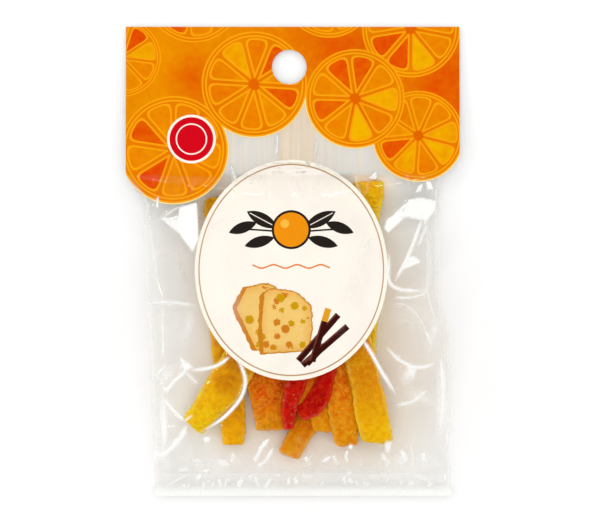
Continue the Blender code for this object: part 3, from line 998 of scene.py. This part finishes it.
def peel_strip(name, points, thickness, roll, arch, cuts, lumps, seed):
    """One strip: a finely divided bar, rounded, laid along a line and made uneven."""
    line = smooth_line(points, 12)
    length = np.linalg.norm(np.diff(line[:, :3], axis=0), axis=1).sum()
    strip = bmesh.new()
    bmesh.ops.create_cube(strip, size=2.0)
    for axis, size in ((1, length), (0, line[:, 3].max()), (2, thickness)):
        edges = [e for e in strip.edges
                 if abs((e.verts[0].co - e.verts[1].co).normalized()[axis]) > 0.9]
        bmesh.ops.subdivide_edges(strip, edges=edges, cuts=max(int(size / STRIP_CELL), 4),
                                  use_grid_fill=True)
    block = np.array([v.co for v in strip.verts])
    a, s, h = block.T
    corner = (abs(a) ** 5 + abs(h) ** 5) ** 0.2
    square = np.maximum(abs(a), abs(h)) / np.maximum(corner, 1e-6)
    end = np.clip((abs(s) - 1 + TIP_ROUNDING / length) * length / TIP_ROUNDING, 0, 1)
    pull = (1 - end**2.4) ** 0.45 * 0.4 + 0.6
    near_end = np.clip(abs(s) * length - length + CUT_REACH, 0, CUT_REACH) / CUT_REACH
    cut = np.where(s > 0, cuts[1], cuts[0]) * near_end
    share = (s + 1) / 2 + cut * a * line[:, 3].mean() / length / 2
    place, width, heading = strip_frame(line, np.clip(share, 0, 1))
    over = np.clip(share - np.clip(share, 0, 1), -0.2, 0.2)[:, None] * length
    place = place + heading * over
    uneven = np.array([noise.noise(Vector((v * length * 0.05, seed, 0))) for v in s])
    half_width = width / 2 * (1 + 0.10 * uneven) * square * pull
    half_height = thickness / 2 * (1 - 0.10 * uneven) * square * pull
    side = np.cross(heading, (0, 0, 1))
    side /= np.linalg.norm(side, axis=1)[:, None]
    up = np.cross(side, heading)
    lean = math.radians(roll)
    side, up = (side * math.cos(lean) + up * math.sin(lean),
                up * math.cos(lean) - side * math.sin(lean))
    lift = h * half_height - arch * a**2
    body = place + side * (a * half_width)[:, None] + up * lift[:, None]
    grain = strip.verts.layers.float_vector.new("grain")
    for vertex, spot, along, across, top in zip(strip.verts, body, share * length, a, h):
        spot = Vector(spot)
        shove = noise.noise_vector(spot * 0.16 + Vector((seed, 0, 0))) * 0.45
        shove += noise.noise_vector(spot * 0.55 + Vector((0, seed, 0))) * 0.20
        shove += noise.noise_vector(spot * 1.1) * lumps
        shove += noise.noise_vector(spot * 2.3) * lumps * 0.4
        vertex.co = spot + shove
        vertex.co.z = max(vertex.co.z, STRIP_FLOOR)
        vertex[grain] = Vector((along, across, top))
    bmesh.ops.recalc_face_normals(strip, faces=strip.faces)
    return make_piece(name, strip), length


def solid_place(wire):
    """The place in the bag's own space, in millimetres."""
    return wire.node("ShaderNodeTexCoord", output=3).vector("MULTIPLY", (1 / MM, 1 / MM, 1 / MM))


def peel_finish(name, colours, length, tip_length, wrinkle_and_glint_share):
    """Candied rind: clear and deep in the thick, paler at its rims, wrinkles and cut tips; the paler spots
    are painted glints and the paler wrinkles partly painted sheen.
    """
    material, wire = new_finish(name)
    deep, body, light, tip = (paint(*colour) for colour in colours)
    spot = solid_place(wire)
    grain = wire.node("ShaderNodeAttribute", output=1, attribute_name="grain")
    along, across = grain.part(0), grain.part(1)
    clouds = spot.noise(0.16, 2.0).over(0.38, 0.62)
    mottle = spot.noise(0.6, 3.0).over(0.34, 0.66)
    wrinkle_and_sheen = (1 - abs(spot.noise(0.42, 1.5) - 0.5) * 8).most(0)
    wrinkle_and_sheen = wrinkle_and_sheen * spot.noise(0.3, 1.0).over(0.42, 0.54)
    painted_glint = spot.noise(1.1, 1.0).over(0.60, 0.68)
    patch = spot.vector("ADD", (31, 7, 0)).noise(0.62, 2.5).over(0.52, 0.66)
    colour = (clouds * 0.62 + mottle * 0.38).mixed(deep, body)
    near_tip = (along - length + tip_length).over(0, 0.8 * tip_length)
    colour = (near_tip * (0.55 + 0.4 * mottle)).mixed(colour, tip)
    rim = abs(across).math("POWER", 6.0).least(1.0)
    colour = (rim * 0.5).mixed(colour, light)
    # paler wrinkles, partly painted sheen; painted glints as paler spots; and paler patches
    colour = ((0.6 * wrinkle_and_sheen).most(0.7 * painted_glint).most(0.7 * patch) * wrinkle_and_glint_share).mixed(colour, light)
    lumps = spot.noise(1.0, 1.5) * 0.6 + wrinkle_and_sheen * 0.4 + spot.noise(3.0, 1.0) * 0.04
    bump = wire.node("ShaderNodeBump", {"Strength": 1.0, "Distance": 0.0007, "Height": lumps})
    show(wire.node("ShaderNodeBsdfPrincipled", {
        "Base Color": colour, "Roughness": 0.14 + 0.2 * mottle, "Normal": bump,
        "Specular IOR Level": 0.05, "Subsurface Weight": 0.7,
        "Subsurface Radius": (1.0, 0.4, 0.02), "Subsurface Scale": 0.002,
        "Coat Weight": 0.6, "Coat Roughness": 0.05}))
    return material


# Each kind of rind: its deep colour, its body, its paler colour for rims, wrinkles and painted glints, and
# its tip
GOLD = ((216, 132, 0), (250, 190, 0), (255, 220, 50), (255, 214, 0))
OCHRE = ((218, 134, 0), (240, 174, 0), (255, 206, 20), (248, 186, 0))
HONEY = ((224, 140, 0), (232, 150, 0), (255, 208, 30), (250, 202, 0))
LEMON = ((238, 164, 0), (252, 196, 0), (255, 226, 50), (255, 210, 0))
AMBER = ((208, 94, 0), (230, 134, 0), (250, 180, 20), (232, 156, 0))
ORANGE = ((220, 58, 0), (240, 118, 0), (255, 180, 30), (226, 162, 0))
BRIGHT = ((255, 70, 0), (255, 120, 0), (255, 180, 20), (246, 160, 0))
RED = ((176, 0, 0), (206, 0, 0), (236, 56, 0), (212, 14, 0))

# Each strip: its middle line from the top with its width there, its thickness, roll, arch, end
# cuts, lumps, the length of its paler tip, how much paler wrinkle, patch and painted glint it
# shows, and its colours
STRIPS = {
    "far_left": ([(-22.9, 19.2, 3.2, 7), (-22.9, 2, 2.9, 7.4), (-21.6, -18, 2.8, 7.4),
                  (-18.8, -36, 2.7, 7.8), (-17.9, -50, 2.6, 7.4), (-17.9, -54.8, 2.5, 6)],
                 3.8, 0, 0.5, (0.05, 0), 0.12, 26, 0.3, OCHRE),
    "left": ([(-2.5, -6, 5.2, 8), (-8.6, -18.5, 6.6, 9.4), (-14.8, -28.6, 6.9, 10.6),
              (-20, -36.4, 6.4, 10.8), (-24.8, -43.2, 5.4, 9.6),
              (-29.9, -49.3, 4.2, 7.2)],
             4.2, 4, 0.7, (0.1, 0), 0.1, 20, 0.2, GOLD),
    "lumpy": ([(-6.4, 10, 3.2, 11), (-7.4, -14, 3, 13), (-7.4, -33, 3.2, 13),
               (-7.2, -42, 3.1, 10.4), (-6.8, -50.6, 2.9, 8.4)],
              4.4, -4, 0.4, (0.1, 0), 0.34, 16, 0.8, ORANGE),
    "red": ([(7.6, 8, 9, 5), (5.2, -12, 9.8, 5.6), (2.2, -32, 9, 5.6),
             (-0.4, -41, 8.2, 5.2), (-1.4, -50.2, 6.4, 2.8)],
            3.6, 8, 0.4, (0, 0.1), 0.24, 5, 0.5, RED),
    "red_short": ([(13.4, -16, 7.4, 5), (11.6, -28, 7.8, 5.6), (9.2, -37.4, 7.6, 6),
                   (6.4, -42.6, 7, 6.6), (2.2, -45.6, 6.2, 4.6)],
                  3.4, -4, 0.4, (0, 0), 0.26, 6, 0.7, RED),
    "low": ([(14.6, -26, 2.9, 10), (8.6, -38, 3, 10.5), (3.8, -48.6, 2.8, 7.4),
             (-1.5, -58.2, 2.6, 6.6)],
            3.8, 3, 0.4, (0, 0.05), 0.2, 16, 0.5, AMBER),
    "between": ([(5.6, -20, 5.9, 7), (7.2, -34, 5.6, 8), (9.6, -51, 4.4, 6.4)],
                3.4, 0, 0.4, (0, -0.1), 0.3, 14, 0.7, ORANGE),
    "ochre": ([(12.4, 2, 6.6, 8), (13.4, -18, 6.9, 8.8), (15, -41, 6.3, 9.4),
               (16, -55.2, 4.4, 7)],
              3.8, 2, 0.5, (0, 0.05), 0.3, 34, 0.8, ORANGE),
    "right": ([(13.6, 2, 10.4, 8), (17, -16, 10.6, 9), (21, -33, 9.2, 9.6),
               (25.3, -54.3, 5.8, 8.8)],
              3.9, 5, 0.6, (0, -0.17), 0.17, 16, 0.5, HONEY),
    "far_right": ([(22.9, 24, 3.4, 8.6), (21.7, 12, 3.1, 8.6), (21, -8, 3, 8.8),
                   (20.8, -31, 2.7, 8.4)],
                  4, 0, 0.5, (0.16, 0.1), 0.2, 8, 0.35, LEMON),
    "cross": ([(-14, 14, 6.6, 7), (-5, -6, 7, 7), (1.6, -24, 6, 7),
               (5.2, -44, 5.6, 7.4)],
              3.8, 0, 0.5, (0, 0.1), 0.18, 8, 0.6, BRIGHT),
}
strip_pieces = {}
for number, (kind, strip) in enumerate(STRIPS.items()):
    name = f"peel_strip_{kind}"
    points, thickness, roll, arch, cuts, lumps, tip_length, wrinkle_and_glint_share, colours = strip
    piece, length = peel_strip(name, points, thickness, roll, arch, cuts, lumps, 3.7 * number)
    piece.data.materials.append(peel_finish(name, colours, length, tip_length, wrinkle_and_glint_share))
    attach(piece, "root")
    strip_pieces[kind] = piece


# ---- Sugar grains ----
# Crystals of the syrup's sugar that cling to the strips: small squashed lumps, half sunk in.
# They stand in for the strips' glints too, and the paler ones are painted glints.

GRAIN_SIZE = (0.14, 0.36)
GRAINS = {"red": 6, "red_short": 9, "right": 48, "ochre": 40, "lumpy": 60}

grain_mesh = bmesh.new()
places_for_grains = []
for kind, count in GRAINS.items():
    tops = [v.co / MM for v in strip_pieces[kind].data.vertices if v.normal.z > 0.6]
    places_for_grains += random.sample(tops, count)
for spot in places_for_grains:
    size = [random.uniform(*GRAIN_SIZE) for way in range(3)]
    axis = Vector([random.gauss(0, 1) for way in range(3)])
    tilt = Matrix.Rotation(random.uniform(0, math.pi), 3, axis.normalized())
    bmesh.ops.create_icosphere(
        grain_mesh, subdivisions=1, radius=1.0,
        matrix=Matrix.LocRotScale(spot, tilt.to_quaternion(), Vector(size)))
grains = make_piece("sugar_grains", grain_mesh)
sugar, wire = new_finish("sugar")
speck = solid_place(wire).noise(1.5, 2.0)
# painted glints: some grains paler and more opaque
painted_glint_grains = speck.over(0.46, 0.56)
show(wire.node("ShaderNodeBsdfPrincipled", {
    "Base Color": painted_glint_grains.mixed(paint(255, 190, 70), paint(255, 240, 170)),
    "Roughness": 0.2 + 0.3 * speck, "Alpha": 0.6 + 0.4 * painted_glint_grains, "Specular IOR Level": 0.2}))
grains.data.materials.append(sugar)
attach(grains, "root")


# ---- Studio ----
# A pale floor that the bag lies on, a ring of strip lamps, and a camera straight above.

VIEW_WIDTH = 0.180
CAMERA_PLACE = (0.0022, 0.0004)
CAMERA_HEIGHT = 1.2
FLOOR_HALF = 3000

floor_mesh = bmesh.new()
bmesh.ops.create_grid(floor_mesh, x_segments=8, y_segments=8, size=FLOOR_HALF)
floor = make_piece("floor", floor_mesh)
floor_finish, wire = new_finish("floor")
show(wire.node("ShaderNodeBsdfDiffuse", {"Color": (0.97, 0.97, 0.97, 1)}))
floor.data.materials.append(floor_finish)

# The room is white low down and dark overhead where it is seen or mirrored, so that the film
# mirrors the lamps alone. What it lights, it lights mostly from overhead.
ROOM_LIGHT, ROOM_RISE = 0.30, 1.12
world = bpy.data.worlds.new("studio")
bpy.context.scene.world = world
world.use_nodes = True
world.node_tree.nodes.clear()
wire = Wire(world.node_tree)
camera_ray = wire.node("ShaderNodeLightPath")
mirror_ray = wire.node("ShaderNodeLightPath", output=3)
clear_ray = wire.node("ShaderNodeLightPath", output=6)
seen = camera_ray.most(mirror_ray).most(clear_ray)
height = wire.node("ShaderNodeTexCoord").part(2)
overhead = height.most(0) * height.most(0)
strength = seen * height.over(0.6, 0.2) + (1 - seen) * (overhead * ROOM_RISE + ROOM_LIGHT)
light = wire.node("ShaderNodeBackground", {"Color": (1, 1, 1, 1), "Strength": strength})
show(light, "ShaderNodeOutputWorld")

LAMPS = 12
LAMP_REACH = 1.3
LAMP_TILT = math.radians(62)
LAMP_POWER = 0.355 * LAMP_REACH**2
for number in range(LAMPS):
    turn = (number + 0.5) * 2 * math.pi / LAMPS
    data = bpy.data.lights.new(f"strip_lamp_{number}", "AREA")
    data.shape = "RECTANGLE"
    data.size = 0.3 * LAMP_REACH
    data.size_y = 0.02 * LAMP_REACH
    data.energy = LAMP_POWER * (1 + 0.5 * math.sin(turn) - 0.28 * math.cos(turn))
    lamp = bpy.data.objects.new(data.name, data)
    bpy.context.collection.objects.link(lamp)
    lamp.location = (
        LAMP_REACH * math.sin(LAMP_TILT) * math.cos(turn),
        LAMP_REACH * math.sin(LAMP_TILT) * math.sin(turn),
        LAMP_REACH * math.cos(LAMP_TILT),
    )
    lamp.rotation_euler = (-lamp.location).to_track_quat("-Z", "Y").to_euler()

camera_data = bpy.data.cameras.new("camera")
camera_data.sensor_width = 36
camera_data.lens = 36 * CAMERA_HEIGHT / VIEW_WIDTH
camera = bpy.data.objects.new("camera", camera_data)
bpy.context.collection.objects.link(camera)
camera.location = (*CAMERA_PLACE, CAMERA_HEIGHT)
bpy.context.scene.camera = camera
bpy.context.scene.view_settings.view_transform = "Standard"
